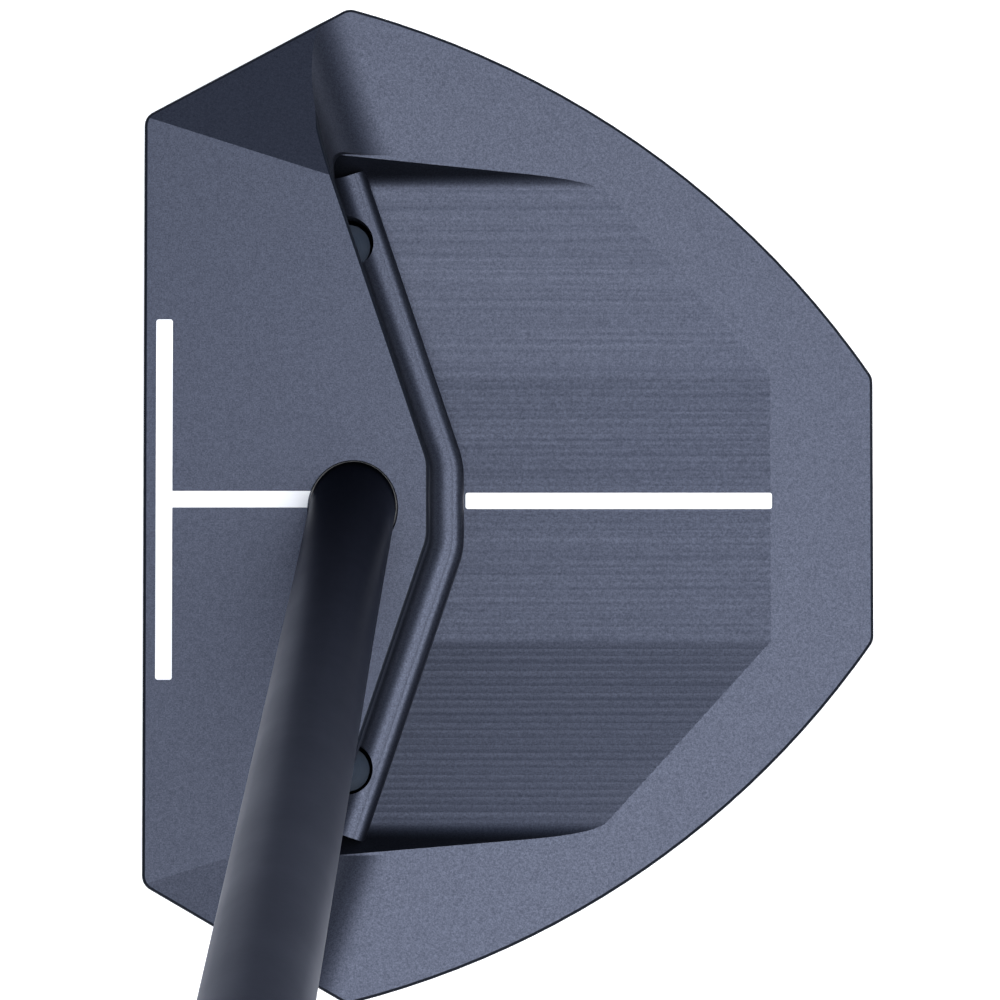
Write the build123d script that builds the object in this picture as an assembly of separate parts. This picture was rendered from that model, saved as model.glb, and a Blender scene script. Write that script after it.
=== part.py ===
from build123d import *
import os
from math import atan2, cos, degrees, radians, sin, tan

# A centre-shafted mallet putter: a milled aluminium head with a raised front slab, two facets,
# two swept wings and a shallow milled pocket, a bonded face insert, a steel sole plate,
# two screw-in sole weights, a tapered steel shaft and a rubber grip.
#
# Frame, in millimetres: the origin is on the ground under the middle of the head's depth.
# +X points from the face to the tail, +Y to the toe and +Z up. The heel side is -Y.

# ---------------------------------------------------------------- driving dimensions
# Head, in plan
head_depth = 80.9
head_width = 110.6
face_width = 84.4
tail_width = 29.6
widest_setback = 22.2
side_radius = 101.0
plan_corner_radius = 1.8

# Head, in height
head_height = 26.0
shoulder_height = 18.3
rim_fall = 8.46
loft_angle = 3.0
sole_bevel = 5.0

# Front slab: its rear edge runs in from each corner to a knee, then straight across
slab_corner_setback = 20.7
slab_corner_half = 35.6
slab_knee_setback = 31.3
slab_knee_half = 4.25
slab_knee_radius = 5.0
scoop_radius = 8.6

# Step that runs along the foot of the slab, inside the pocket
step_width = 3.75
step_height = 16.3
step_fillet = 2.4
step_edge_radius = 1.2
step_half_length = 36.2

# Milled pocket: a level centre between two flats that rise outwards, cut in straight passes
floor_height = 11.3
floor_rise = 7.7
pass_pitch = 0.83
pass_depth = 0.012
centre_passes = 36
side_passes = 24
pocket_floor_half = 36.4
pocket_half = 38.9
pocket_front_setback = 20.5
pocket_wall_draft = 30.0
pocket_fillet = 2.5
pocket_corner_radius = 1.3

# Sight marks, filled with white paint
mark_width = 1.85
mark_depth = 0.4
mark_corner_radius = 0.3
bar_setback = 1.35
bar_length = 39.6
rear_mark_length = 34.3
rear_mark_offset = 0.8

# Shaft and its seat in the slab
shaft_setback = 22.95
shaft_offset = -1.0
lie_angle = 70.0
forward_lean = 2.0
shaft_tip_diameter = 9.4
shaft_butt_diameter = 15.2
shaft_wall = 0.5
shaft_parallel_length = 50.0
seat_depth = 19.0
club_length = 864.0
bond_gap = 0.15
seat_chamfer = 0.12
bond_sink = 0.4

# Face insert
insert_width = 70.0
insert_height = 17.0
insert_centre_height = 12.6
insert_thickness = 3.0
insert_corner_radius = 4.0
insert_bond = 0.2
insert_side_gap = 0.05
insert_groove_pitch = 1.7
insert_groove_width = 0.5
insert_groove_depth = 0.25
insert_groove_margin = 3.0

# Sole weights, each on its own threaded stud in a steel bush
weight_setback = 22.1
weight_half_spacing = 29.24
weight_diameter = 19.4
weight_thickness = 5.6
weight_recess = 0.4
weight_side_gap = 0.15
weight_edge_chamfer = 0.5
weight_hex_size = 5.0
weight_hex_depth = 3.5
weight_spanner_holes = 6
weight_spanner_hole_diameter = 1.6
weight_spanner_hole_depth = 0.8
weight_spanner_circle = 14.2
stud_diameter = 6.0
stud_length = 6.4
thread_gap = 0.05
ring_thickness = 0.8
ring_inner_diameter = 8.6
ring_outer_diameter = 14.0
bush_diameter = 8.0
bush_length = 6.0
vent_hole_diameter = 5.8
vent_hole_top = 19.6

# Sole plate and its screws
plate_thickness = 2.5
plate_front_gap = 3.0
plate_tail_margin = 9.5
plate_front_half = 31.0
plate_tail_half = 13.0
plate_corner_radius = 5.0
plate_side_gap = 0.1
plate_edge_chamfer = 0.3
screw_diameter = 3.0
screw_head_diameter = 5.6
screw_length = 7.5
screw_head_sink = 0.15
screw_hole_gap = 0.1
screw_end_gap = 0.3
screw_edge_distance = 6.0
screw_hex_size = 2.0
screw_hex_depth = 1.1
screw_point_chamfer = 0.4

# Grip
grip_length = 267.0
grip_tape_thickness = 0.25
grip_tape_margin = 8.0
grip_low_width = 20.0
grip_mid_width = 23.0
grip_top_width = 27.0
grip_low_depth = 20.0
grip_mid_depth = 26.0
grip_top_depth = 30.0
grip_flat_share = 0.42
grip_mid_share = 0.45
grip_corner_radius = 3.0
cap_thickness = 4.0
cap_edge_radius = 1.8
cap_vent_diameter = 2.5
cap_plug_length = 8.0
cap_plug_gap = 0.1

# Fixed joints: the film left between a filling, a bush or a thread and the wall around it
fit_gap = 0.01
paint_gap = 0.02

# ---------------------------------------------------------------- derived places
face_x = -head_depth / 2
tail_x = head_depth / 2
lead_x = face_x - head_height * tan(radians(loft_angle))
widest_x = face_x + widest_setback
side_slope = (head_width - face_width) / 2 / widest_setback
rim_slope = tan(radians(rim_fall))
floor_slope = tan(radians(floor_rise))

slab_corner = (face_x + slab_corner_setback, slab_corner_half)
slab_knee = (face_x + slab_knee_setback, slab_knee_half)
centre_floor_half = centre_passes / 2 * pass_pitch
pass_half = centre_floor_half + side_passes * pass_pitch
rear_mark_x = slab_knee[0] + step_width + bond_gap

port_depth = weight_recess + weight_thickness + ring_thickness
weight_x = face_x + weight_setback
plate_front_x = weight_x + weight_diameter / 2 + plate_front_gap
plate_tail_x = tail_x - plate_tail_margin

screw_hole_depth = screw_head_sink + screw_length + screw_end_gap

# The shaft's line: up, towards the golfer on the heel side, and a little towards the target.
shaft_direction = Vector(-tan(radians(forward_lean)), -tan(radians(90 - lie_angle)), 1).normalized()
shaft_entry = Vector(face_x + shaft_setback, shaft_offset, head_height)
shaft_foot = shaft_entry - shaft_direction * seat_depth
ground_to_entry = head_height / shaft_direction.Z
shaft_length = club_length - ground_to_entry + seat_depth - cap_thickness
grip_start = shaft_length - grip_length + cap_thickness

# The shaft's own frame: its local Y axis lies in the vertical plane of the lie angle, away from the golfer.
shaft_plane = Plane(
    origin=shaft_foot,
    x_dir=(1, 0, -shaft_direction.X / shaft_direction.Z),
    z_dir=shaft_direction,
)

# The face's own frame: local X to the heel, local Y up the face, and Z out of it.
face_normal = (-cos(radians(loft_angle)), 0, sin(radians(loft_angle)))
face_plane = Plane(
    origin=(lead_x + insert_centre_height * tan(radians(loft_angle)), 0, insert_centre_height),
    x_dir=(0, -1, 0),
    z_dir=face_normal,
)

# Room to spare on every cutting tool, so that no cut ends level with a face of the head.
spare = 20.0
overlap = 0.5
sides = {"toe": 1, "heel": -1}


# ---------------------------------------------------------------- helpers
def half_space(plane, size=4 * head_width):
    """A block that fills the side of a plane that its normal points to."""
    return plane * Box(size, size, size, align=(Align.CENTER, Align.CENTER, Align.MIN))


def cylinder_up(diameter, z_low, z_high, x=0.0, y=0.0):
    """A vertical cylinder between two heights."""
    low = Align.CENTER, Align.CENTER, Align.MIN
    return Pos(x, y, z_low) * Cylinder(diameter / 2, z_high - z_low, align=low)


def hex_socket(across_flats, z_low, z_high, x=0.0, y=0.0):
    """A hexagonal prism between two heights."""
    outline = RegularPolygon(across_flats / 2, 6, major_radius=False)
    return Pos(x, y, z_low) * extrude(outline, amount=z_high - z_low)


def shaft_radius(distance):
    """Outer radius of the shaft at a distance from its tip: parallel first, then an even taper."""
    if distance <= shaft_parallel_length:
        return shaft_tip_diameter / 2
    share = (distance - shaft_parallel_length) / (shaft_length - shaft_parallel_length)
    return (shaft_tip_diameter + share * (shaft_butt_diameter - shaft_tip_diameter)) / 2


def turned(points):
    """A solid of revolution about the shaft's axis, from radius and distance pairs."""
    profile = make_face(Polyline(*[(radius, 0, along) for radius, along in points], close=True))
    return shaft_plane * revolve(profile, axis=Axis.Z)


# ---------------------------------------------------------------- head body
def head_plan(front_x):
    """Plan outline: tapered front, arcs from the widest corners to the flat tail."""
    front_half = face_width / 2 + side_slope * (front_x - face_x)
    edges = [Line((front_x, -front_half), (front_x, front_half))]
    for side in sides.values():
        widest = (widest_x, side * head_width / 2)
        edges.append(Line((front_x, side * front_half), widest))
        edges.append(RadiusArc(widest, (tail_x, side * tail_width / 2), side * side_radius))
    edges.append(Line((tail_x, -tail_width / 2), (tail_x, tail_width / 2)))
    return make_face(edges)


def head_blank():
    """The outside of the head before its top is cut: bevelled sole, rounded corners, lofted face."""
    plan = head_plan(lead_x - spare)
    block = extrude(plan, amount=head_height)
    block = chamfer(block.edges().group_by(Axis.Z)[0], sole_bevel)
    block &= extrude(fillet(plan.vertices(), plan_corner_radius), amount=head_height)
    block -= half_space(face_plane)
    front = [edge for edge in block.edges() if (edge @ 0.5).X < face_x + overlap]
    corners = [edge for edge in front if abs((edge @ 0.5).Y) > face_width / 4]
    upright = [edge for edge in corners if abs((edge % 0.5).Z) > cos(radians(45))]
    return fillet(upright, plan_corner_radius)


def rim_plane():
    """The plane of both wings and of the tail, falling towards the tail."""
    return Plane(
        origin=(widest_x, 0, shoulder_height),
        x_dir=(cos(radians(rim_fall)), 0, -sin(radians(rim_fall))),
        z_dir=(sin(radians(rim_fall)), 0, cos(radians(rim_fall))),
    )


def facet_plane(side):
    """The plane through the front corner, the slab's rear corner and the widest corner."""
    front = Vector(face_x, side * face_width / 2, head_height)
    rear = Vector(slab_corner[0], side * slab_corner[1], head_height)
    widest = Vector(widest_x, side * head_width / 2, shoulder_height)
    normal = (rear - front).cross(widest - front)
    if normal.Z < 0:
        normal = normal * -1
    return Plane(origin=front, x_dir=rear - front, z_dir=normal)


def wall_point(half):
    """The point of the slab's rear wall line, extended, at a distance from the centre line."""
    run = (slab_corner[0] - slab_knee[0]) / (slab_corner[1] - slab_knee[1])
    return (slab_knee[0] + run * (half - slab_knee[1]), half)


def behind_slab(inner_half, outer_half, side):
    """A tall prism of everything behind one side of the slab's wall line."""
    near = wall_point(inner_half)
    far = wall_point(outer_half)
    rear = tail_x + spare
    corners = [near, far, (rear, outer_half), (rear, inner_half)]
    outline = make_face(Polyline(*[(x, side * y) for x, y in corners], close=True))
    return extrude(Plane.XY * outline, amount=head_height + spare)


def wing_cut(side):
    """Above one wing: the wing's plane, with a wide concave scoop up to the slab's wall."""
    outer_half = head_width / 2 + spare
    cut = behind_slab(slab_corner_half / 2, outer_half, side) & half_space(rim_plane())
    x, y = wall_point(outer_half / 2)
    foot = rim_plane().origin.Z - rim_slope * (x - widest_x)
    return fillet(cut.edges().sort_by_distance((x, side * y, foot))[0], scoop_radius)


def slab_line():
    """The rear edge of the slab inside the pocket, from the toe corner to the heel corner."""
    end = wall_point(step_half_length)
    points = [end, slab_knee, (slab_knee[0], -slab_knee[1]), (end[0], -end[1])]
    return FilletPolyline(*points, radius=slab_knee_radius)


def pocket_region():
    """Plan of the pocket's front: the slab's line, then square corners out to the side walls."""
    front = face_x + pocket_front_setback
    corner = wall_point(slab_corner_half)
    rear = tail_x + spare
    outline = [
        (front, pocket_half),
        corner,
        slab_knee,
        (slab_knee[0], -slab_knee[1]),
        (corner[0], -corner[1]),
        (front, -pocket_half),
        (rear, -pocket_half),
        (rear, pocket_half),
    ]
    plan = make_face(Polyline(*outline, close=True))
    knees = [v for v in plan.vertices() if abs(v.X - slab_knee[0]) < overlap]
    plan = fillet(knees, slab_knee_radius)
    outer = [v for v in plan.vertices() if abs(abs(v.Y) - pocket_half) < overlap and v.X < 0]
    plan = fillet(outer, pocket_corner_radius)
    return extrude(plan, amount=head_height + spare)


def floor_level(y):
    """Height of the crests between the passes at a distance from the centre line."""
    return floor_height + max(0.0, abs(y) - centre_floor_half) * floor_slope


def pocket_prism():
    """The pocket's section along the whole head, with filleted feet and drafted side walls."""
    foot = (pocket_floor_half, floor_level(pocket_floor_half))
    lift = (pocket_half - pocket_floor_half) / tan(radians(pocket_wall_draft))
    shoulder = (pocket_half, foot[1] + lift)
    right = [(centre_floor_half, floor_height), foot, shoulder, (pocket_half, head_height + spare)]
    left = [(-y, z) for y, z in reversed(right)]
    section = make_face(Polyline(*right, *left, close=True))
    feet = [v for v in section.vertices() if abs(abs(v.X) - pocket_floor_half) < overlap / 10]
    section = fillet(feet, pocket_fillet)
    return extrude(section_plane() * section, amount=2 * head_depth)


def section_plane():
    """A cross-section plane ahead of the pocket: local X to the toe, local Y up, Z to the tail."""
    return Plane(origin=(-head_depth, 0, 0), x_dir=(0, 1, 0), z_dir=(1, 0, 0))


def pass_prism():
    """The milling passes: shallow arcs side by side, each running from front to back."""
    count = centre_passes + 2 * side_passes
    crests = [(index * pass_pitch - pass_half) for index in range(count + 1)]
    edges = []
    for left, right in zip(crests, crests[1:]):
        middle = (left + right) / 2
        low = (floor_level(left) + floor_level(right)) / 2 - pass_depth
        edges.append(ThreePointArc((left, floor_level(left)), (middle, low), (right, floor_level(right))))
    above = floor_level(pass_half) + overlap
    edges.append(Polyline(
        (pass_half, floor_level(pass_half)),
        (pass_half, above),
        (-pass_half, above),
        (-pass_half, floor_level(pass_half)),
    ))
    return extrude(section_plane() * make_face(edges), amount=2 * head_depth)


def foot_step():
    """The step at the foot of the slab: a hollow against the wall, a flat and a rounded edge."""
    path = slab_line()
    tangent = path % 0
    outward = Vector(-tangent.Y, tangent.X, 0)
    plane = Plane(origin=path @ 0, x_dir=outward, z_dir=tangent)
    low = floor_height - step_fillet
    hollow_top = (0, step_height + step_fillet)
    hollow_foot = (step_fillet, step_height)
    brow = (step_width - step_edge_radius, step_height)
    side = (step_width, step_height - step_edge_radius)
    section = make_face([
        Polyline(side, (step_width, low), (-overlap, low), (-overlap, hollow_top[1]), hollow_top),
        RadiusArc(hollow_top, hollow_foot, -step_fillet),
        Line(hollow_foot, brow),
        RadiusArc(brow, side, step_edge_radius),
    ])
    return sweep(plane * section, path=path)


def weight_port(side):
    """The stepped bore of one sole weight, from the sole up to the step beside the slab."""
    y = side * weight_half_spacing
    port = cylinder_up(weight_diameter + 2 * weight_side_gap, -spare, port_depth, weight_x, y)
    port += cylinder_up(bush_diameter + 2 * fit_gap, 0, port_depth + bush_length, weight_x, y)
    port += cylinder_up(vent_hole_diameter, 0, vent_hole_top, weight_x, y)
    return port


def plate_outline(gap=0.0):
    """Plan of the sole plate, or of its recess when a gap is given."""
    points = [
        (plate_front_x, plate_front_half),
        (plate_tail_x, plate_tail_half),
        (plate_tail_x, -plate_tail_half),
        (plate_front_x, -plate_front_half),
    ]
    plan = make_face(Polyline(*points, close=True))
    plan = fillet(plan.vertices(), plate_corner_radius)
    return offset(plan, amount=gap) if gap else plan


def screw_places():
    """The four sole screws, each a set distance in from the plate's edges."""
    front = plate_front_x + screw_edge_distance
    tail = plate_tail_x - screw_edge_distance
    slope = (plate_front_half - plate_tail_half) / (plate_tail_x - plate_front_x)
    places = {}
    for end, x in (("front", front), ("tail", tail)):
        half = plate_front_half - slope * (x - plate_front_x) - screw_edge_distance
        for name, side in sides.items():
            places[f"{end}_{name}"] = (x, side * half)
    return places


def insert_block(gap, depth, height_above=0.0):
    """The face insert's rounded block, grown by a gap, from a depth behind the face."""
    outline = RectangleRounded(
        insert_width + 2 * gap, insert_height + 2 * gap, insert_corner_radius + gap
    )
    return face_plane * (Pos(0, 0, -depth) * extrude(outline, amount=depth + height_above))


def seat_bore(diameter, above=spare):
    """The shaft's blind bore, along the shaft's line."""
    low = Align.CENTER, Align.CENTER, Align.MIN
    return shaft_plane * Cylinder(diameter / 2, seat_depth + above, align=low)


def seat_mouth():
    """The bevel round the bore's mouth, between two level sections of a widening bore."""
    radius = shaft_tip_diameter / 2 + bond_gap
    turn = degrees(atan2(shaft_direction.Y, shaft_direction.X))
    sections = []
    for rise in (-seat_chamfer, seat_chamfer):
        centre = shaft_entry + shaft_direction * (rise / shaft_direction.Z)
        grown = radius + seat_chamfer + rise
        outline = Ellipse(grown / shaft_direction.Z, grown)
        sections.append(Pos(*centre) * Rot(0, 0, turn) * outline)
    return loft(sections)


def front_mark_outline():
    """Plan of the T-shaped front mark: a bar along the face and a stem back to the shaft."""
    bar_x = face_x + bar_setback + mark_width / 2
    bar = Pos(bar_x, 0) * RectangleRounded(mark_width, bar_length, mark_corner_radius)
    stem_length = shaft_setback - bar_setback
    stem = Pos(bar_x + stem_length / 2, 0) * Rectangle(stem_length, mark_width)
    return bar + stem


def rear_mark_outline():
    """Plan of the straight rear mark, which meets the front one in the player's slanted view."""
    middle = rear_mark_x + rear_mark_length / 2
    outline = RectangleRounded(rear_mark_length, mark_width, mark_corner_radius)
    return Pos(middle, rear_mark_offset) * outline


def head_body():
    """The milled head, in one piece of aluminium."""
    body = head_blank()
    for side in sides.values():
        body -= half_space(facet_plane(side))
        body -= wing_cut(side)
    region = pocket_region()
    body -= region & half_space(rim_plane())
    body -= region & pocket_prism()
    body -= region & pass_prism()
    body += foot_step()
    for side in sides.values():
        body -= weight_port(side)
    body -= seat_bore(shaft_tip_diameter + 2 * bond_gap)
    body -= seat_mouth()
    body -= insert_block(insert_side_gap, insert_thickness + insert_bond, spare)
    body -= extrude(plate_outline(plate_side_gap), amount=plate_thickness)
    for place in screw_places().values():
        body -= cylinder_up(screw_diameter + 2 * fit_gap, 0, screw_hole_depth, *place)
    body -= Pos(0, 0, head_height - mark_depth) * extrude(front_mark_outline(), amount=spare)
    body -= Pos(0, 0, floor_height - mark_depth) * extrude(rear_mark_outline(), amount=spare)
    return body


# ---------------------------------------------------------------- face insert
def face_insert():
    """The insert in the face, scored with shallow level grooves."""
    insert = insert_block(0, insert_thickness)
    height = insert_height - 2 * insert_groove_margin
    count = int(height / insert_groove_pitch)
    groove = Box(insert_width - 2 * insert_groove_margin, insert_groove_width, 2 * insert_groove_depth)
    for index in range(count + 1):
        level = (index - count / 2) * insert_groove_pitch
        insert -= face_plane * (Pos(0, level, 0) * groove)
    return insert


def insert_film():
    """The adhesive sheet behind the insert."""
    outline = RectangleRounded(insert_width, insert_height, insert_corner_radius)
    low = -insert_thickness - insert_bond
    return face_plane * (Pos(0, 0, low) * extrude(outline, amount=insert_bond))


# ---------------------------------------------------------------- sight marks
def front_sight_mark():
    """White paint in the T-shaped groove of the slab."""
    paint = extrude(offset(front_mark_outline(), amount=-paint_gap), amount=mark_depth)
    paint = Pos(0, 0, head_height - mark_depth) * paint
    return paint - seat_bore(shaft_tip_diameter + 2 * (bond_gap + seat_chamfer))


def rear_sight_mark():
    """White paint in the straight groove of the pocket floor."""
    paint = extrude(offset(rear_mark_outline(), amount=-paint_gap), amount=mark_depth - pass_depth)
    paint = Pos(0, 0, floor_height - mark_depth) * paint
    return paint - half_space(rim_plane())


# ---------------------------------------------------------------- sole
def screw_profile(gap, length):
    """A countersunk screw's outline turned about its own axis, grown by a gap."""
    head = screw_head_diameter / 2 + gap
    shank = screw_diameter / 2 + gap
    cone = head - shank
    outline = Polyline((0, 0), (head, 0), (shank, cone), (shank, length), (0, length), close=True)
    return revolve(Plane.XZ * make_face(outline), axis=Axis.Z)


def sole_screw(place):
    """One countersunk socket screw, head down in the sole plate."""
    screw = screw_profile(0, screw_length)
    tip = screw.edges().group_by(Axis.Z)[-1]
    screw = chamfer(tip, screw_point_chamfer)
    screw -= hex_socket(screw_hex_size, 0, screw_hex_depth)
    return Pos(*place, screw_head_sink) * screw


def sole_plate():
    """The steel plate let into the sole, with a countersunk hole for each screw."""
    plate = extrude(plate_outline(), amount=plate_thickness)
    plate = chamfer(plate.edges().group_by(Axis.Z)[0], plate_edge_chamfer)
    for x, y in screw_places().values():
        plate -= Pos(x, y, screw_head_sink) * screw_profile(screw_hole_gap, screw_length)
        plate -= cylinder_up(screw_head_diameter + 2 * screw_hole_gap, 0, screw_head_sink, x, y)
    return plate


def sole_weight(side):
    """A round weight with its stud in one piece, turned by a hexagon key or a pin spanner."""
    y = side * weight_half_spacing
    top = weight_recess + weight_thickness
    disc = cylinder_up(weight_diameter, weight_recess, top, weight_x, y)
    disc = chamfer(disc.edges().filter_by(GeomType.CIRCLE), weight_edge_chamfer)
    stud = cylinder_up(stud_diameter - 2 * thread_gap, top - overlap, top + stud_length, weight_x, y)
    weight = disc + chamfer(stud.edges().group_by(Axis.Z)[-1], weight_edge_chamfer)
    weight -= hex_socket(weight_hex_size, 0, weight_recess + weight_hex_depth, weight_x, y)
    pin_hole = Cylinder(weight_spanner_hole_diameter / 2, 2 * weight_spanner_hole_depth)
    for hole in PolarLocations(weight_spanner_circle / 2, weight_spanner_holes):
        weight -= Pos(weight_x, y, weight_recess) * hole * pin_hole
    return weight


def weight_ring(side):
    """The soft ring between a weight and the floor of its port."""
    y = side * weight_half_spacing
    low = weight_recess + weight_thickness
    ring = cylinder_up(ring_outer_diameter, low, port_depth, weight_x, y)
    return ring - cylinder_up(ring_inner_diameter, 0, port_depth + overlap, weight_x, y)


def thread_bush(side):
    """The steel bush, pressed into the head, that a weight's stud screws into."""
    y = side * weight_half_spacing
    top = port_depth + bush_length
    bush = cylinder_up(bush_diameter, port_depth, top, weight_x, y)
    return bush - cylinder_up(stud_diameter, 0, top + overlap, weight_x, y)


# ---------------------------------------------------------------- shaft
def shaft():
    """The tapered steel tube, parallel at its tip."""
    outer = [(shaft_radius(at), at) for at in (0, shaft_parallel_length, shaft_length)]
    inner = [(radius - shaft_wall, at) for radius, at in reversed(outer)]
    return turned(outer + inner)


def shaft_bond():
    """The adhesive sleeve between the shaft's tip and its seat, a little below the slab."""
    outer = shaft_tip_diameter / 2 + bond_gap - fit_gap
    inner = shaft_tip_diameter / 2 + fit_gap
    top = seat_depth + spare
    sleeve = turned([(inner, 0), (outer, 0), (outer, top), (inner, top)])
    return sleeve - half_space(Plane.XY.offset(head_height - bond_sink))


# ---------------------------------------------------------------- grip
def grip_section(width, depth):
    """A rounded section with a flat for the thumbs on the side away from the golfer."""
    round_part = Ellipse(width / 2, depth / 2)
    below_flat = Pos(0, (grip_flat_share - 1) * depth) * Rectangle(2 * width, 2 * depth)
    section = round_part & below_flat
    return fillet(section.vertices(), grip_corner_radius)


def shaft_station(distance):
    """The plane square to the shaft at a distance from its tip."""
    return shaft_plane.offset(distance)


def grip():
    """The rubber grip, pulled over the taped butt of the shaft."""
    middle = grip_start + grip_mid_share * grip_length
    stations = [
        (grip_start, grip_low_width, grip_low_depth),
        (middle, grip_mid_width, grip_mid_depth),
        (shaft_length, grip_top_width, grip_top_depth),
    ]
    sections = [shaft_station(at) * grip_section(width, depth) for at, width, depth in stations]
    body = loft(sections)
    gap = grip_tape_thickness + 2 * fit_gap
    low = grip_start - overlap
    high = shaft_length + overlap
    inner = [(0, low), (shaft_radius(low) + gap, low), (shaft_radius(high) + gap, high), (0, high)]
    return body - turned(inner)


def grip_tape():
    """The double-sided tape wound round the shaft under the grip."""
    low = grip_start + grip_tape_margin
    inner = [(shaft_radius(at) + fit_gap, at) for at in (low, shaft_length)]
    outer = [(radius + grip_tape_thickness, at) for radius, at in reversed(inner)]
    return turned(inner + outer)


def grip_cap():
    """The moulded cap on the butt, with a plug inside the shaft and a vent."""
    top = shaft_station(shaft_length)
    cap = top * extrude(grip_section(grip_top_width, grip_top_depth), amount=cap_thickness)
    cap = fillet(cap.faces().sort_by(Axis(top.origin, top.z_dir))[-1].edges(), cap_edge_radius)
    plug_radius = shaft_radius(shaft_length - cap_plug_length) - shaft_wall - cap_plug_gap
    low = shaft_length - cap_plug_length
    cap += turned([(0, low), (plug_radius, low), (plug_radius, shaft_length), (0, shaft_length)])
    vent = cap_vent_diameter / 2
    high = shaft_length + 2 * cap_thickness
    return cap - turned([(0, low - overlap), (vent, low - overlap), (vent, high), (0, high)])


# ---------------------------------------------------------------- the assembly
nodes = {
    "head_body": head_body(),
    "face_insert": face_insert(),
    "insert_bond": insert_film(),
    "front_sight_mark": front_sight_mark(),
    "rear_sight_mark": rear_sight_mark(),
    "sole_plate": sole_plate(),
    "shaft": shaft(),
    "shaft_bond": shaft_bond(),
    "grip_tape": grip_tape(),
    "grip": grip(),
    "grip_cap": grip_cap(),
}
for name, place in screw_places().items():
    nodes[f"{name}_sole_screw"] = sole_screw(place)
for name, side in sides.items():
    nodes[f"{name}_weight"] = sole_weight(side)
    nodes[f"{name}_weight_ring"] = weight_ring(side)
    nodes[f"{name}_thread_bush"] = thread_bush(side)

os.makedirs("parts", exist_ok=True)
for name, shape in nodes.items():
    export_step(shape, f"parts/{name}.step")
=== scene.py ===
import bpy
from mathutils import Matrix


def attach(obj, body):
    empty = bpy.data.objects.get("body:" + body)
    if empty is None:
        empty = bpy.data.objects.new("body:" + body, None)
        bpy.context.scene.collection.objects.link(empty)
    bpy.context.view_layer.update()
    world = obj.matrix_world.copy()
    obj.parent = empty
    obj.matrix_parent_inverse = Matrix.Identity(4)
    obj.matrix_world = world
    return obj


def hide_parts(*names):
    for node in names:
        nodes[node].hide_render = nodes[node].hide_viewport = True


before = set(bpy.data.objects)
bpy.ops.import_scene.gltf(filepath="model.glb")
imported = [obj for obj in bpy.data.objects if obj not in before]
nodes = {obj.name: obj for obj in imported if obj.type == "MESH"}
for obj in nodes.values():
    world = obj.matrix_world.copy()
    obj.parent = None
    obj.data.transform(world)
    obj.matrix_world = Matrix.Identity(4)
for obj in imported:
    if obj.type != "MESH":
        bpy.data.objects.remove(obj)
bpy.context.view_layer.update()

from math import cos, pi, radians, sin, tan

import bmesh
import bpy
from mathutils import Vector
from mathutils.bvhtree import BVHTree

MM = 0.001
scene = bpy.context.scene

# ------------------------------------------------------------------ sizes of the head
slab_height = 26.0 * MM
edge_break = 0.34 * MM
merge_distance = 0.002 * MM
lowest_outline_edge = 9.0 * MM
pocket_floor_low = 10.0 * MM
pocket_floor_high = 15.5 * MM
weight_centre_x = -18.35 * MM
weight_centre_y = 29.24 * MM


# ------------------------------------------------------------------ camera, lights and floor
def make_camera():
    """The player's view: above the head, a little on the heel side, looking down on the marks."""
    data = bpy.data.cameras.new("player_camera")
    data.sensor_width = 36.0
    data.lens = 235.2
    data.clip_start = 0.01
    data.clip_end = 30.0
    camera = bpy.data.objects.new("player_camera", data)
    camera.location = (-1.37 * MM, -48.0 * MM, 740.0 * MM)
    camera.rotation_euler = (0.067, 0.0, 0.0)
    scene.collection.objects.link(camera)
    scene.camera = camera


def area_light(name, place, aim, size, watts, tint=(1.0, 1.0, 1.0)):
    """A rectangular soft box that faces a point of the object."""
    data = bpy.data.lights.new(name, "AREA")
    data.shape = "RECTANGLE"
    data.size, data.size_y = size
    data.energy = watts
    data.color = tint
    light = bpy.data.objects.new(name, data)
    light.location = place
    direction = Vector(aim) - Vector(place)
    light.rotation_euler = direction.to_track_quat("-Z", "Y").to_euler()
    light.visible_camera = False
    scene.collection.objects.link(light)


def make_room():
    """A dim room that grows paler overhead and below the table, seen against a pale backdrop."""
    world = bpy.data.worlds.new("studio_room")
    world.use_nodes = True
    tree = world.node_tree
    background = tree.nodes["Background"]
    background.inputs["Color"].default_value = (0.66, 0.76, 1.0, 1.0)
    direction = tree.nodes.new("ShaderNodeTexCoord")
    split = tree.nodes.new("ShaderNodeSeparateXYZ")
    rise = tree.nodes.new("ShaderNodeMapRange")
    rise.inputs["From Min"].default_value = 0.12
    rise.inputs["From Max"].default_value = 0.75
    rise.inputs["To Min"].default_value = 0.04
    rise.inputs["To Max"].default_value = 0.62
    tree.links.new(direction.outputs["Generated"], split.inputs["Vector"])
    tree.links.new(split.outputs["Z"], rise.inputs["Value"])
    fall = map_range(tree, split.outputs["Z"], -0.4, -0.1, 0.7, 0.0)
    strength = math_node(tree, "ADD", rise.outputs["Result"], fall)
    tree.links.new(strength, background.inputs["Strength"])
    backdrop = tree.nodes.new("ShaderNodeBackground")
    backdrop.inputs["Color"].default_value = (0.96, 0.97, 1.0, 1.0)
    seen = tree.nodes.new("ShaderNodeLightPath")
    mix = tree.nodes.new("ShaderNodeMixShader")
    tree.links.new(seen.outputs["Is Camera Ray"], mix.inputs[0])
    tree.links.new(background.outputs[0], mix.inputs[1])
    tree.links.new(backdrop.outputs[0], mix.inputs[2])
    tree.links.new(mix.outputs[0], tree.nodes["World Output"].inputs["Surface"])
    scene.world = world


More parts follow.
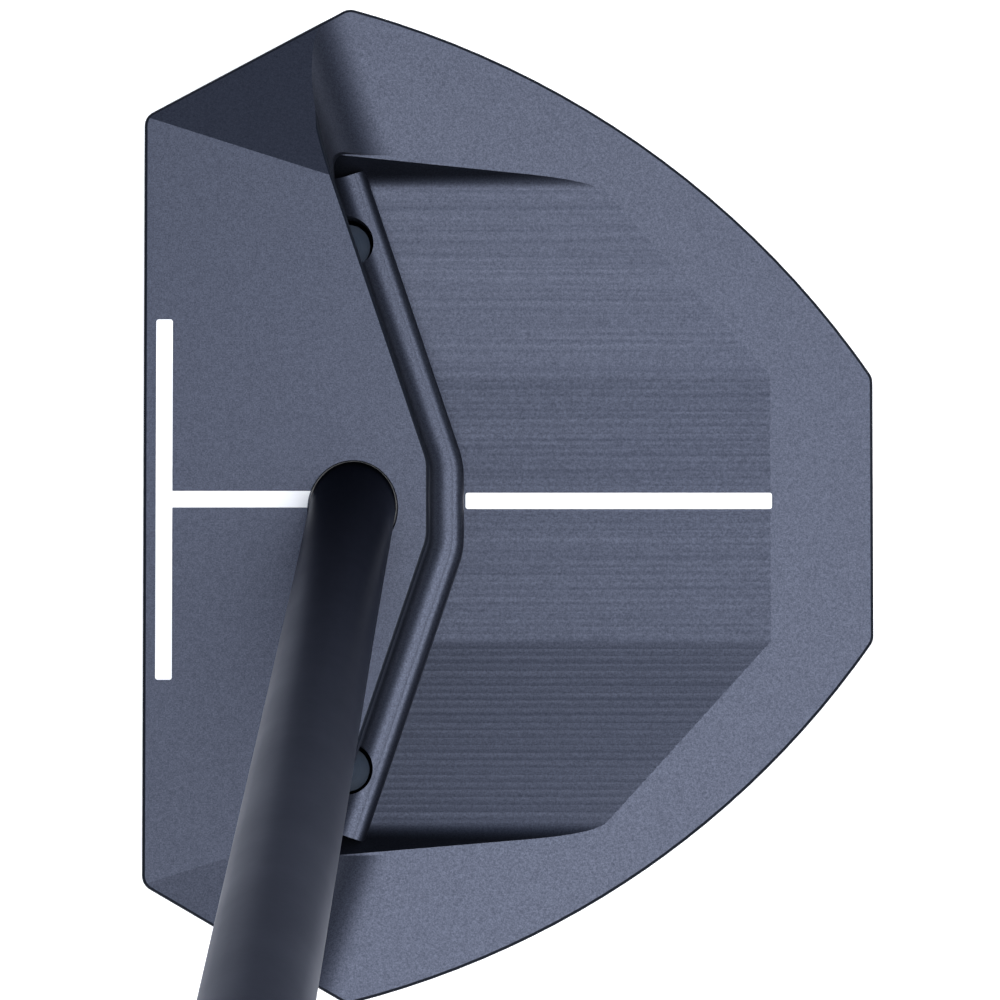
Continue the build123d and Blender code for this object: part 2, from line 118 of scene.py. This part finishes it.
def make_floor():
    """A white light table that can be looked through from beneath."""
    bpy.ops.mesh.primitive_plane_add(size=14.0, location=(0, 0, -0.2 * MM))
    floor = bpy.context.object
    floor.name = "studio_floor"
    material = bpy.data.materials.new("light_table")
    material.use_nodes = True
    shader = material.node_tree.nodes["Principled BSDF"]
    shader.inputs["Base Color"].default_value = (0.93, 0.93, 0.93, 1.0)
    shader.inputs["Roughness"].default_value = 0.8
    shader.inputs["Emission Color"].default_value = (1.0, 1.0, 1.0, 1.0)
    shader.inputs["Emission Strength"].default_value = 0.6
    tree = material.node_tree
    side = tree.nodes.new("ShaderNodeNewGeometry")
    clear = tree.nodes.new("ShaderNodeBsdfTransparent")
    mix = tree.nodes.new("ShaderNodeMixShader")
    tree.links.new(side.outputs["Backfacing"], mix.inputs[0])
    tree.links.new(shader.outputs[0], mix.inputs[1])
    tree.links.new(clear.outputs[0], mix.inputs[2])
    tree.links.new(mix.outputs[0], tree.nodes["Material Output"].inputs["Surface"])
    floor.data.materials.append(material)


def make_studio():
    scene.view_settings.view_transform = "Standard"
    make_room()
    area_light("overhead_soft_box", (0.29, -0.215, 1.3), (0, 0, 0), (1.35, 0.95), 25.2)
    area_light("heel_strip", (-0.35, -1.3, 0.75), (0, 0, 0), (0.8, 0.5), 0.7)
    make_floor()


# ------------------------------------------------------------------ shared shader groups
def new_group(name, inputs, outputs):
    """An empty shader group with named inputs, given as name and default, and outputs."""
    tree = bpy.data.node_groups.new(name, "ShaderNodeTree")
    for label, kind, default in inputs:
        socket = tree.interface.new_socket(label, in_out="INPUT", socket_type=kind)
        if default is not None:
            socket.default_value = default
    for label, kind in outputs:
        tree.interface.new_socket(label, in_out="OUTPUT", socket_type=kind)
    entry = tree.nodes.new("NodeGroupInput")
    leave = tree.nodes.new("NodeGroupOutput")
    return tree, entry, leave


FLOAT, VECTOR = "NodeSocketFloat", "NodeSocketVector"


def noise(tree, vector, scale=None, detail=2.0, rough=0.5):
    """A noise texture node read at a vector socket."""
    node = tree.nodes.new("ShaderNodeTexNoise")
    node.inputs["Detail"].default_value = detail
    node.inputs["Roughness"].default_value = rough
    if scale is not None:
        node.inputs["Scale"].default_value = scale
    tree.links.new(vector, node.inputs["Vector"])
    return node


def math_node(tree, operation, first, second=None):
    """A math node; each operand is a socket or a number."""
    node = tree.nodes.new("ShaderNodeMath")
    node.operation = operation
    for index, value in enumerate((first, second)):
        if value is None:
            continue
        if isinstance(value, (int, float)):
            node.inputs[index].default_value = value
        else:
            tree.links.new(value, node.inputs[index])
    return node.outputs[0]


def map_range(tree, value, from_low, from_high, to_low, to_high):
    """A clamped map-range node; each limit is a socket or a number."""
    node = tree.nodes.new("ShaderNodeMapRange")
    tree.links.new(value, node.inputs["Value"])
    labels = ("From Min", "From Max", "To Min", "To Max")
    for label, limit in zip(labels, (from_low, from_high, to_low, to_high)):
        if isinstance(limit, (int, float)):
            node.inputs[label].default_value = limit
        else:
            tree.links.new(limit, node.inputs[label])
    return node.outputs["Result"]


def blast_group():
    """Bead-blasted grain: two sizes of grain and a broad mottle, each about one half."""
    tree, entry, leave = new_group(
        "blasted_grain",
        [("Vector", VECTOR, None), ("Grain Scale", FLOAT, 1500.0), ("Mottle Scale", FLOAT, 60.0)],
        [("Grain", FLOAT), ("Mottle", FLOAT)],
    )
    fine = noise(tree, entry.outputs["Vector"], detail=1.0)
    coarse = noise(tree, entry.outputs["Vector"], detail=2.0, rough=0.6)
    broad = noise(tree, entry.outputs["Vector"], detail=3.0)
    tree.links.new(entry.outputs["Grain Scale"], fine.inputs["Scale"])
    half = math_node(tree, "MULTIPLY", entry.outputs["Grain Scale"], 0.5)
    tree.links.new(half, coarse.inputs["Scale"])
    tree.links.new(entry.outputs["Mottle Scale"], broad.inputs["Scale"])
    both = math_node(tree, "ADD", fine.outputs["Fac"], coarse.outputs["Fac"])
    grain = map_range(tree, both, 0.62, 1.38, 0.0, 1.0)
    tree.links.new(grain, leave.inputs["Grain"])
    mottle = map_range(tree, broad.outputs["Fac"], 0.3, 0.7, 0.0, 1.0)
    tree.links.new(mottle, leave.inputs["Mottle"])
    return tree


def brush_group():
    """Fine brushed lines along the local X direction of the vector."""
    tree, entry, leave = new_group(
        "brushed_lines",
        [("Vector", VECTOR, None), ("Stretch", VECTOR, (40.0, 2600.0, 2600.0))],
        [("Lines", FLOAT)],
    )
    scaled = tree.nodes.new("ShaderNodeVectorMath")
    scaled.operation = "MULTIPLY"
    tree.links.new(entry.outputs["Vector"], scaled.inputs[0])
    tree.links.new(entry.outputs["Stretch"], scaled.inputs[1])
    lines = noise(tree, scaled.outputs["Vector"], scale=1.0, detail=3.0, rough=0.65)
    result = map_range(tree, lines.outputs["Fac"], 0.3, 0.7, 0.0, 1.0)
    tree.links.new(result, leave.inputs["Lines"])
    return tree


def turned_group():
    """Rings left by a lathe about an upright axis through the vector's origin."""
    tree, entry, leave = new_group(
        "turned_rings",
        [("Vector", VECTOR, None), ("Ring Scale", FLOAT, 2400.0)],
        [("Rings", FLOAT)],
    )
    flat = tree.nodes.new("ShaderNodeVectorMath")
    flat.operation = "MULTIPLY"
    flat.inputs[1].default_value = (1.0, 1.0, 0.0)
    tree.links.new(entry.outputs["Vector"], flat.inputs[0])
    distance = tree.nodes.new("ShaderNodeVectorMath")
    distance.operation = "LENGTH"
    tree.links.new(flat.outputs["Vector"], distance.inputs[0])
    line = tree.nodes.new("ShaderNodeCombineXYZ")
    tree.links.new(distance.outputs["Value"], line.inputs["X"])
    rings = noise(tree, line.outputs["Vector"], detail=3.0, rough=0.7)
    tree.links.new(entry.outputs["Ring Scale"], rings.inputs["Scale"])
    result = map_range(tree, rings.outputs["Fac"], 0.3, 0.7, 0.0, 1.0)
    tree.links.new(result, leave.inputs["Rings"])
    return tree


def wear_group():
    """Rubbed edges: a mask that follows the sharp convex edges, broken up by a noise."""
    tree, entry, leave = new_group(
        "rubbed_edges",
        [
            ("Vector", VECTOR, None),
            ("Start", FLOAT, 0.53),
            ("Full", FLOAT, 0.62),
            ("Breakup Scale", FLOAT, 400.0),
        ],
        [("Wear", FLOAT)],
    )
    geometry = tree.nodes.new("ShaderNodeNewGeometry")
    edge = map_range(
        tree, geometry.outputs["Pointiness"], entry.outputs["Start"], entry.outputs["Full"], 0.0, 1.0
    )
    breakup = noise(tree, entry.outputs["Vector"], detail=3.0)
    tree.links.new(entry.outputs["Breakup Scale"], breakup.inputs["Scale"])
    patches = map_range(tree, breakup.outputs["Fac"], 0.35, 0.65, 0.0, 1.0)
    wear = math_node(tree, "MULTIPLY", edge, patches)
    tree.links.new(wear, leave.inputs["Wear"])
    return tree


# ------------------------------------------------------------------ materials
class Finish:
    """One material: its tree, its shader and the Object coordinates that its patterns read."""

    def __init__(self, name, metallic, shift=(0.0, 0.0, 0.0)):
        self.material = bpy.data.materials.new(name)
        self.material.use_nodes = True
        self.tree = self.material.node_tree
        self.shader = self.tree.nodes["Principled BSDF"]
        self.shader.inputs["Metallic"].default_value = metallic
        place = self.tree.nodes.new("ShaderNodeTexCoord")
        mapping = self.tree.nodes.new("ShaderNodeMapping")
        mapping.inputs["Location"].default_value = shift
        self.tree.links.new(place.outputs["Object"], mapping.inputs["Vector"])
        self.vector = mapping.outputs["Vector"]

    def group(self, tree, **values):
        """Places a shared group, with its inputs given by name."""
        node = self.tree.nodes.new("ShaderNodeGroup")
        node.node_tree = tree
        self.tree.links.new(self.vector, node.inputs["Vector"])
        for label, value in values.items():
            node.inputs[label.replace("_", " ")].default_value = value
        return node.outputs

    def noise(self, scale, detail=2.0, rough=0.5):
        return noise(self.tree, self.vector, scale, detail, rough).outputs["Fac"]

    def blend(self, mask, low, high):
        """A colour between two, by a mask; either may already be a colour socket."""
        node = self.tree.nodes.new("ShaderNodeMix")
        node.data_type = "RGBA"
        self.tree.links.new(mask, node.inputs[0])
        for index, colour in ((6, low), (7, high)):
            if isinstance(colour, tuple):
                node.inputs[index].default_value = (*colour, 1.0)
            else:
                self.tree.links.new(colour, node.inputs[index])
        return node.outputs[2]

    def multiply(self, first, second):
        """One colour multiplied by another."""
        node = self.tree.nodes.new("ShaderNodeMix")
        node.data_type = "RGBA"
        node.blend_type = "MULTIPLY"
        node.inputs[0].default_value = 1.0
        self.tree.links.new(first, node.inputs[6])
        self.tree.links.new(second, node.inputs[7])
        return node.outputs[2]

    def attribute(self, name):
        """A mask stored on the mesh; it is nought where the mesh has none."""
        node = self.tree.nodes.new("ShaderNodeAttribute")
        node.attribute_name = name
        return node.outputs["Fac"]

    def spread(self, mask, low, high):
        return map_range(self.tree, mask, 0.0, 1.0, low, high)

    def math(self, operation, first, second):
        return math_node(self.tree, operation, first, second)

    def colour(self, socket):
        self.tree.links.new(socket, self.shader.inputs["Base Color"])

    def rough(self, socket):
        self.tree.links.new(socket, self.shader.inputs["Roughness"])

    def bump(self, height, depth):
        """Fine relief, from a height mask and its real depth in metres."""
        node = self.tree.nodes.new("ShaderNodeBump")
        node.inputs["Strength"].default_value = 1.0
        node.inputs["Distance"].default_value = depth
        self.tree.links.new(height, node.inputs["Height"])
        self.tree.links.new(node.outputs["Normal"], self.shader.inputs["Normal"])


def anodised_aluminium():
    """Blue-grey anodised over a bead-blasted surface, with painted shade along the broken edges."""
    finish = Finish("anodised_aluminium", 1.0)
    grain = finish.group(blasted, Grain_Scale=6500.0, Mottle_Scale=30.0)
    base = finish.blend(grain["Grain"], (0.0345, 0.039, 0.0540), (0.0595, 0.0660, 0.0890))
    tint = finish.blend(grain["Mottle"], (0.975, 0.98, 0.995), (1.0, 1.0, 1.0))
    mixed = finish.multiply(base, tint)
    passes = finish.group(brushed, Stretch=(18.0, 1900.0, 1900.0))
    streaks = finish.math("MULTIPLY", passes["Lines"], finish.attribute("milled_floor"))
    shade = finish.blend(streaks, (1.0, 1.0, 1.0), (0.74, 0.75, 0.77))
    streaked = finish.multiply(mixed, shade)
    # Painted shade: the broken edges round the outline are coloured near-black and made non-metallic,
    # standing in for the thin dark line of shade along the head's outline.
    edge = finish.attribute("painted_edge_shade")
    finish.colour(finish.blend(edge, streaked, (0.005, 0.007, 0.012)))
    solid = finish.math("SUBTRACT", 1.0, edge)
    finish.tree.links.new(solid, finish.shader.inputs["Metallic"])
    finish.shader.inputs["Specular IOR Level"].default_value = 0.08
    finish.rough(finish.spread(grain["Grain"], 0.50, 0.44))
    finish.bump(grain["Grain"], 0.0009 * MM)
    return finish.material


def moulded_polymer():
    """Satin polymer of the face insert, with a faint flow in it."""
    finish = Finish("moulded_polymer", 0.0)
    grain = finish.group(blasted, Grain_Scale=1700.0, Mottle_Scale=90.0)
    finish.colour(finish.blend(grain["Mottle"], (0.024, 0.027, 0.034), (0.038, 0.042, 0.052)))
    finish.rough(finish.spread(grain["Grain"], 0.40, 0.52))
    finish.bump(grain["Grain"], 0.003 * MM)
    return finish.material


def white_paint():
    """Satin white paint, filled into the sight marks."""
    finish = Finish("white_paint", 0.0)
    grain = finish.group(blasted, Grain_Scale=900.0, Mottle_Scale=160.0)
    finish.colour(finish.blend(grain["Mottle"], (0.90, 0.90, 0.89), (0.96, 0.96, 0.955)))
    finish.rough(finish.spread(grain["Grain"], 0.38, 0.5))
    finish.bump(grain["Grain"], 0.002 * MM)
    return finish.material


def satin_black():
    """The shaft's satin black plating, with fine dust-sized grain."""
    finish = Finish("satin_black", 1.0)
    grain = finish.group(blasted, Grain_Scale=1500.0, Mottle_Scale=70.0)
    finish.colour(finish.blend(grain["Grain"], (0.0045, 0.0050, 0.0085), (0.0070, 0.0078, 0.0125)))
    finish.rough(finish.spread(grain["Mottle"], 0.42, 0.48))
    finish.bump(grain["Grain"], 0.0010 * MM)
    finish.shader.inputs["Specular Tint"].default_value = (0.62, 0.635, 0.685, 1.0)
    return finish.material


def brushed_steel():
    """The sole plate: stainless steel brushed from front to back."""
    finish = Finish("brushed_steel", 1.0)
    lines = finish.group(brushed)
    wear = finish.group(rubbed)
    base = finish.blend(lines["Lines"], (0.34, 0.34, 0.35), (0.52, 0.52, 0.53))
    finish.colour(finish.blend(wear["Wear"], base, (0.66, 0.66, 0.67)))
    finish.rough(finish.spread(lines["Lines"], 0.24, 0.40))
    finish.bump(lines["Lines"], 0.003 * MM)
    return finish.material


def turned_steel(name, side):
    """A sole weight: blackened steel turned on a lathe about the weight's own axis."""
    finish = Finish(name, 1.0, (-weight_centre_x, -side * weight_centre_y, 0.0))
    rings = finish.group(turned)
    wear = finish.group(rubbed)
    base = finish.blend(rings["Rings"], (0.010, 0.0135, 0.020), (0.019, 0.025, 0.036))
    finish.colour(finish.blend(wear["Wear"], base, (0.045, 0.048, 0.056)))
    finish.rough(finish.spread(rings["Rings"], 0.26, 0.40))
    finish.bump(rings["Rings"], 0.003 * MM)
    return finish.material


def blackened_steel():
    """Screws and bushes: chemically blackened steel, rubbed bright at the edges."""
    finish = Finish("blackened_steel", 1.0)
    grain = finish.group(blasted, Grain_Scale=2600.0, Mottle_Scale=400.0)
    wear = finish.group(rubbed, Start=0.52, Full=0.6, Breakup_Scale=900.0)
    base = finish.blend(grain["Mottle"], (0.028, 0.028, 0.031), (0.055, 0.054, 0.056))
    finish.colour(finish.blend(wear["Wear"], base, (0.085, 0.084, 0.084)))
    finish.rough(finish.spread(grain["Grain"], 0.3, 0.44))
    finish.bump(grain["Grain"], 0.002 * MM)
    return finish.material


def cured_epoxy():
    """Black-tinted adhesive with small bubbles."""
    finish = Finish("cured_epoxy", 0.0)
    grain = finish.group(blasted, Grain_Scale=1200.0, Mottle_Scale=300.0)
    finish.colour(finish.blend(grain["Mottle"], (0.012, 0.013, 0.016), (0.03, 0.031, 0.036)))
    finish.rough(finish.spread(grain["Grain"], 0.25, 0.45))
    finish.bump(grain["Grain"], 0.01 * MM)
    return finish.material


def soft_rubber():
    """The ring under each sole weight."""
    finish = Finish("soft_rubber", 0.0)
    grain = finish.group(blasted, Grain_Scale=1800.0, Mottle_Scale=200.0)
    finish.colour(finish.blend(grain["Mottle"], (0.012, 0.012, 0.013), (0.03, 0.03, 0.031)))
    finish.rough(finish.spread(grain["Grain"], 0.6, 0.85))
    finish.bump(grain["Grain"], 0.006 * MM)
    return finish.material


def paper_tape():
    """Double-sided tape under the grip, with a crepe grain across it."""
    finish = Finish("paper_tape", 0.0)
    lines = finish.group(brushed, Stretch=(300.0, 300.0, 2400.0))
    finish.colour(finish.blend(lines["Lines"], (0.48, 0.40, 0.26), (0.66, 0.57, 0.40)))
    finish.rough(finish.spread(lines["Lines"], 0.6, 0.8))
    finish.bump(lines["Lines"], 0.02 * MM)
    return finish.material


def grip_rubber():
    """Moulded rubber with a dusty, slightly uneven surface."""
    finish = Finish("grip_rubber", 0.0)
    grain = finish.group(blasted, Grain_Scale=1300.0, Mottle_Scale=35.0)
    base = finish.blend(grain["Mottle"], (0.014, 0.016, 0.021), (0.026, 0.028, 0.035))
    finish.colour(finish.blend(finish.math("MULTIPLY", grain["Grain"], 0.35), base, (0.05, 0.052, 0.06)))
    finish.rough(finish.spread(grain["Grain"], 0.58, 0.76))
    finish.bump(grain["Grain"], 0.012 * MM)
    return finish.material


def cap_plastic():
    """The moulded cap, with a fine spark-eroded texture."""
    finish = Finish("cap_plastic", 0.0)
    grain = finish.group(blasted, Grain_Scale=1000.0, Mottle_Scale=120.0)
    finish.colour(finish.blend(grain["Mottle"], (0.018, 0.019, 0.023), (0.03, 0.031, 0.037)))
    finish.rough(finish.spread(grain["Grain"], 0.38, 0.55))
    finish.bump(grain["Grain"], 0.008 * MM)
    return finish.material


def dress(obj, material):
    """Gives an object one material, in its first slot."""
    if not obj.material_slots:
        obj.data.materials.append(material)
    obj.material_slots[0].material = material


def dress_frame():
    """Every carried-over node of the frame gets its finish."""
    metal = blackened_steel()
    epoxy = cured_epoxy()
    paint = white_paint()
    rubber = soft_rubber()
    finishes = {
        "face_insert": moulded_polymer(),
        "insert_bond": epoxy,
        "front_sight_mark": paint,
        "rear_sight_mark": paint,
        "sole_plate": brushed_steel(),
        "shaft": satin_black(),
        "shaft_bond": epoxy,
        "grip_tape": paper_tape(),
        "grip": grip_finish,
        "grip_cap": cap_plastic(),
        "toe_weight": turned_steel("turned_steel_toe", 1),
        "heel_weight": turned_steel("turned_steel_heel", -1),
        "toe_weight_ring": rubber,
        "heel_weight_ring": rubber,
        "toe_thread_bush": metal,
        "heel_thread_bush": metal,
        "head_body": head_finish,
    }
    for name, node in nodes.items():
        dress(node, finishes.get(name, metal))


# ------------------------------------------------------------------ the head's own piece
def outside_edges(bm):
    """The convex edges between the head's top faces and the sides that nothing stands in front of."""
    tree = BVHTree.FromBMesh(bm)
    found = []
    step = 0.05 * MM
    for edge in bm.edges:
        if len(edge.link_faces) != 2:
            continue
        top, side = sorted(edge.link_faces, key=lambda face: -face.normal.z)
        if top.normal.z < 0.7 or abs(side.normal.z) > 0.35:
            continue
        middle = (edge.verts[0].co + edge.verts[1].co) / 2
        if middle.z < lowest_outline_edge or not edge.is_convex:
            continue
        outward = Vector((side.normal.x, side.normal.y, 0)).normalized()
        start = middle + outward * step - Vector((0, 0, step))
        if tree.ray_cast(start, outward)[0] is None:
            found.append(edge)
    return found


def finished(obj):
    """The object's evaluated mesh as a plain mesh, with its modifiers taken off."""
    bpy.context.view_layer.update()
    graph = bpy.context.evaluated_depsgraph_get()
    mesh = bpy.data.meshes.new_from_object(obj.evaluated_get(graph), depsgraph=graph)
    obj.modifiers.clear()
    old = obj.data
    obj.data = mesh
    mesh.name = obj.name
    bpy.data.meshes.remove(old)
    return obj


def new_piece(name, mesh):
    obj = bpy.data.objects.new(name, mesh)
    scene.collection.objects.link(obj)
    return obj


def keep_normals(bm, mesh):
    """Stores each corner's own normal, so that merging and bevelling leave the flats flat."""
    layer = bm.loops.layers.float_vector.new("own_normal")
    bm.faces.ensure_lookup_table()
    for face, polygon in zip(bm.faces, mesh.polygons):
        for loop, index in zip(face.loops, polygon.loop_indices):
            loop[layer] = mesh.corner_normals[index].vector
    return layer


def bevel_normals(bm, layer, new_faces):
    """Across a broken edge the normal turns evenly from the top face to the side face."""
    fresh = set(new_faces)
    for face in new_faces:
        for loop in face.loops:
            near = [other[layer] for other in loop.vert.link_loops if other.face not in fresh]
            if near:
                best = max(near, key=lambda normal: Vector(normal).dot(face.normal))
                loop[layer] = Vector(best).normalized()
            else:
                total = Vector()
                for other in loop.vert.link_loops:
                    total += other.face.normal
                loop[layer] = total.normalized()


def drop_folded(bm, layer):
    """Closes the shortest side of each sliver that breaking the edges has folded over."""
    bm.normal_update()
    short_sides = []
    for face in bm.faces:
        facing = sum((Vector(loop[layer]) for loop in face.loops), Vector())
        if face.normal.dot(facing) < 0.0:
            short_sides.append(min(face.edges, key=lambda edge: edge.calc_length()))
    bmesh.ops.collapse(bm, edges=list(set(short_sides)))
    bm.normal_update()


def stay_inside(bm, source):
    """Keeps every corner within the box of the head's own CAD mesh."""
    corners = [vertex.co for vertex in source.vertices]
    for axis in range(3):
        lowest = min(corner[axis] for corner in corners)
        highest = max(corner[axis] for corner in corners)
        for vertex in bm.verts:
            vertex.co[axis] = min(max(vertex.co[axis], lowest), highest)


def on_pocket_floor(face):
    """The pocket's floor is the only low top face that doesn't fall to the rear."""
    height = face.calc_center_median().z
    level_to_rear = face.normal.z > 0.97 and abs(face.normal.x) < 0.05
    return level_to_rear and pocket_floor_low < height < pocket_floor_high


def make_head():
    """The head with its edges broken all round, on the frame's own shape."""
    source = nodes["head_body"].data
    bm = bmesh.new()
    bm.from_mesh(source)
    layer = keep_normals(bm, source)
    bmesh.ops.remove_doubles(bm, verts=bm.verts, dist=merge_distance)
    bmesh.ops.dissolve_limit(bm, angle_limit=radians(0.05), verts=bm.verts, edges=bm.edges)
    edges = outside_edges(bm)
    made = bmesh.ops.bevel(
        bm,
        geom=edges,
        offset=edge_break,
        segments=2,
        profile=0.5,
        affect="EDGES",
        clamp_overlap=False,
    )
    bevel_normals(bm, layer, made["faces"])
    drop_folded(bm, layer)
    stay_inside(bm, source)
    fresh = {face for face in made["faces"] if face.is_valid}
    # The bevel faces, which the head's finish paints near-black as a painted shade line along the
    # outline.
    broken = [1.0 if face in fresh else 0.0 for face in bm.faces]
    milled = [1.0 if on_pocket_floor(face) else 0.0 for face in bm.faces]
    mesh = bpy.data.meshes.new("milled_head")
    bm.to_mesh(mesh)
    normals = [tuple(loop[layer]) for face in bm.faces for loop in face.loops]
    bm.free()
    for name, values in (("painted_edge_shade", broken), ("milled_floor", milled)):
        mesh.attributes.new(name, "FLOAT", "FACE").data.foreach_set("value", values)
    mesh.shade_smooth()
    mesh.normals_split_custom_set(normals)
    mesh.materials.append(head_finish)
    head = new_piece("milled_head", mesh)
    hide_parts("head_body")
    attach(head, "putter")


# ------------------------------------------------------------------ the grip's moulded pips
forward_lean = radians(2.0)
lean_to_golfer = radians(20.0)
shaft_lean = Vector((-tan(forward_lean), -tan(lean_to_golfer), 1.0)).normalized()
shaft_entry = Vector((-17.5 * MM, -1.0 * MM, slab_height))
grip_low_end = 569.3 * MM
pip_radius = 0.95 * MM
pip_height = 0.32 * MM
pip_crown_share = 0.55
pip_sides = 10
pip_columns = 20
pip_rows = 44
pip_row_pitch = 4.6 * MM
pip_start = 30.0 * MM
rows_to_a_panel = 15
pip_rows_in_a_panel = 12
thumb_flat_limit = 0.8
beyond_the_skin = 40.0 * MM


def shaft_frame():
    """Two directions square to the shaft: across the club, and away from the golfer."""
    across = Vector((1.0, 0.0, -shaft_lean.x / shaft_lean.z)).normalized()
    return across, shaft_lean.cross(across).normalized()


def pip_points():
    """Points on the grip's skin in staggered rows, with the skin's direction at each."""
    across, away = shaft_frame()
    source = nodes["grip"].data
    skin = BVHTree.FromPolygons(
        [vertex.co for vertex in source.vertices], [tuple(face.vertices) for face in source.polygons]
    )
    points, facing = [], []
    for row in range(pip_rows):
        if row % rows_to_a_panel >= pip_rows_in_a_panel:
            continue
        centre = shaft_entry + shaft_lean * (grip_low_end + pip_start + row * pip_row_pitch)
        for column in range(pip_columns):
            angle = 2 * pi * (column + 0.5 * (row % 2)) / pip_columns
            outward = across * cos(angle) + away * sin(angle)
            if outward.dot(away) > thumb_flat_limit:
                continue
            hit, normal, _, _ = skin.ray_cast(centre + outward * beyond_the_skin, -outward)
            if hit is not None:
                points.append(hit)
                facing.append(normal if normal.dot(outward) > 0 else -normal)
    return points, facing


def pip_tree():
    """Puts a low round pip on every point, turned to face the way its point does."""
    tree = bpy.data.node_groups.new("moulded_pips", "GeometryNodeTree")
    tree.interface.new_socket("Geometry", in_out="INPUT", socket_type="NodeSocketGeometry")
    for label in ("Pip Radius", "Pip Height"):
        tree.interface.new_socket(label, in_out="INPUT", socket_type=FLOAT)
    tree.interface.new_socket("Geometry", in_out="OUTPUT", socket_type="NodeSocketGeometry")
    entry = tree.nodes.new("NodeGroupInput")
    leave = tree.nodes.new("NodeGroupOutput")
    pip = tree.nodes.new("GeometryNodeMeshCone")
    pip.inputs["Vertices"].default_value = pip_sides
    pip.inputs["Side Segments"].default_value = 1
    crown = math_node(tree, "MULTIPLY", entry.outputs["Pip Radius"], pip_crown_share)
    tree.links.new(entry.outputs["Pip Radius"], pip.inputs["Radius Bottom"])
    tree.links.new(crown, pip.inputs["Radius Top"])
    tree.links.new(entry.outputs["Pip Height"], pip.inputs["Depth"])
    facing = tree.nodes.new("GeometryNodeInputNamedAttribute")
    facing.data_type = "FLOAT_VECTOR"
    facing.inputs["Name"].default_value = "facing"
    align = tree.nodes.new("FunctionNodeAlignRotationToVector")
    align.axis = "Z"
    tree.links.new(facing.outputs["Attribute"], align.inputs["Vector"])
    place = tree.nodes.new("GeometryNodeInstanceOnPoints")
    tree.links.new(entry.outputs["Geometry"], place.inputs["Points"])
    tree.links.new(pip.outputs["Mesh"], place.inputs["Instance"])
    tree.links.new(align.outputs["Rotation"], place.inputs["Rotation"])
    realize = tree.nodes.new("GeometryNodeRealizeInstances")
    tree.links.new(place.outputs["Instances"], realize.inputs["Geometry"])
    finish = tree.nodes.new("GeometryNodeSetMaterial")
    finish.inputs["Material"].default_value = grip_finish
    tree.links.new(realize.outputs["Geometry"], finish.inputs["Geometry"])
    tree.links.new(finish.outputs["Geometry"], leave.inputs["Geometry"])
    return tree


def set_inputs(modifier, tree, values):
    """Sets a modifier's inputs by the identifiers of their sockets."""
    for socket in tree.interface.items_tree:
        if socket.in_out == "INPUT" and socket.name in values:
            modifier[socket.identifier] = values[socket.name]


def make_pips():
    """The grip's rows of pips, which its flat for the thumbs interrupts."""
    points, facing = pip_points()
    mesh = bpy.data.meshes.new("grip_pips")
    mesh.from_pydata(points, [], [])
    layer = mesh.attributes.new("facing", "FLOAT_VECTOR", "POINT")
    layer.data.foreach_set("vector", [value for normal in facing for value in normal])
    pips = new_piece("grip_pips", mesh)
    tree = pip_tree()
    modifier = pips.modifiers.new("moulded_pips", "NODES")
    modifier.node_group = tree
    set_inputs(modifier, tree, {"Pip Radius": pip_radius, "Pip Height": pip_height})
    finished(pips)
    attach(pips, "putter")


make_camera()
make_studio()

blasted = blast_group()
brushed = brush_group()
turned = turned_group()
rubbed = wear_group()
head_finish = anodised_aluminium()
grip_finish = grip_rubber()
dress_frame()
make_head()
make_pips()
